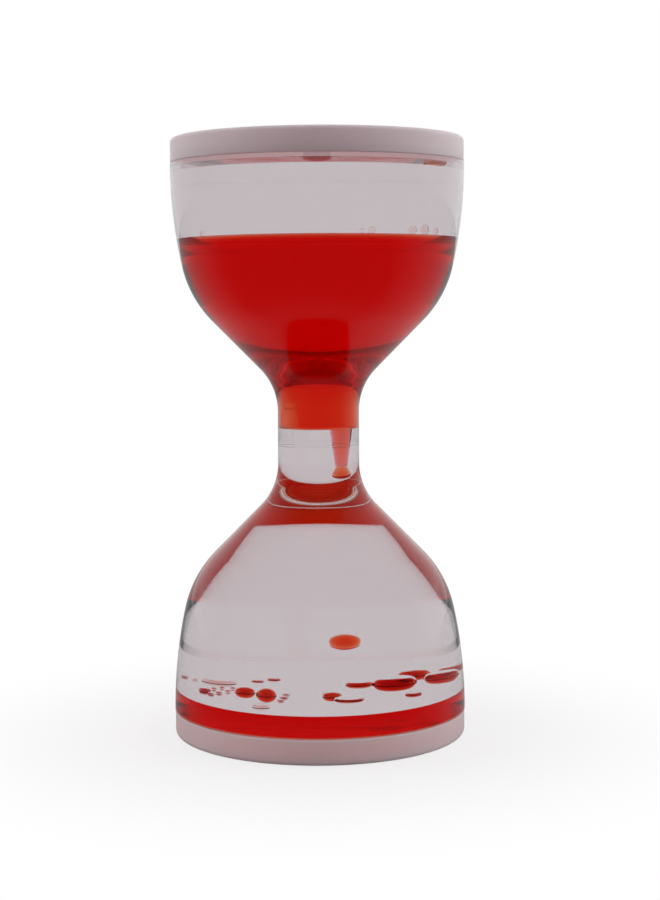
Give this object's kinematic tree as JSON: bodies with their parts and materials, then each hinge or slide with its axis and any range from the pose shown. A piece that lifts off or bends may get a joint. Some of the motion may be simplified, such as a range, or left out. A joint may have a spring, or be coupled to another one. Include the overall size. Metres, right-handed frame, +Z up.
{
  "type": "liquid motion timer",
  "caption": "Sealed clear hourglass with white end caps, in which red water drips down through clear oil by way of a nozzle insert in the narrow neck.",
  "frame": {"origin": "centre of the underside of the lower cap", "axes": "+Z up along the timer's axis, +X to the right and +Y away from the viewer of the picture"},
  "size_m": [0.0642, 0.0642, 0.1306],
  "materials": {
    "cap_plastic": "white with a faint lilac tinge, smooth moulded",
    "clear_plastic": "clear polished",
    "plug_plastic": "smooth moulded",
    "adhesive": "cured glue, milky",
    "red_water": "clear red dyed water",
    "clear_oil": "clear oil"
  },
  "bodies": {
    "timer": {"upper_cap": "cap_plastic", "lower_cap": "cap_plastic", "upper_cap_adhesive": "adhesive", "lower_cap_adhesive": "adhesive", "upper_closure": "clear_plastic", "lower_closure": "clear_plastic", "fill_plug": "plug_plastic", "upper_bulb": "clear_plastic", "lower_bulb": "clear_plastic", "nozzle_insert": "clear_plastic", "upper_red_liquid": "red_water", "upper_clear_oil": "clear_oil", "lower_clear_oil": "clear_oil", "lower_red_pool": "red_water", "forming_red_drop": "red_water", "resting_drops_right": "red_water", "resting_drops_left": "red_water", "resting_drops_middle": "red_water", "pool_bubbles": "clear_oil", "surface_froth": "clear_oil", "ceiling_drops": "red_water"},
    "falling_drop": {"falling_red_drop": "red_water"},
    "rising_drop": {"rising_oil_drop": "clear_oil"}
  },
  "joints": [
    {"name": "falling_drop_slide", "type": "slide", "parent": "timer", "child": "falling_drop", "axis": [0, 0, 1], "range_m": [-0.008, 0.0335], "deforming": ["lower_clear_oil"]},
    {"name": "rising_drop_slide", "type": "slide", "parent": "timer", "child": "rising_drop", "axis": [0, 0, 1], "range_m": [0, 0.0352], "deforming": ["upper_red_liquid"]}
  ]
}
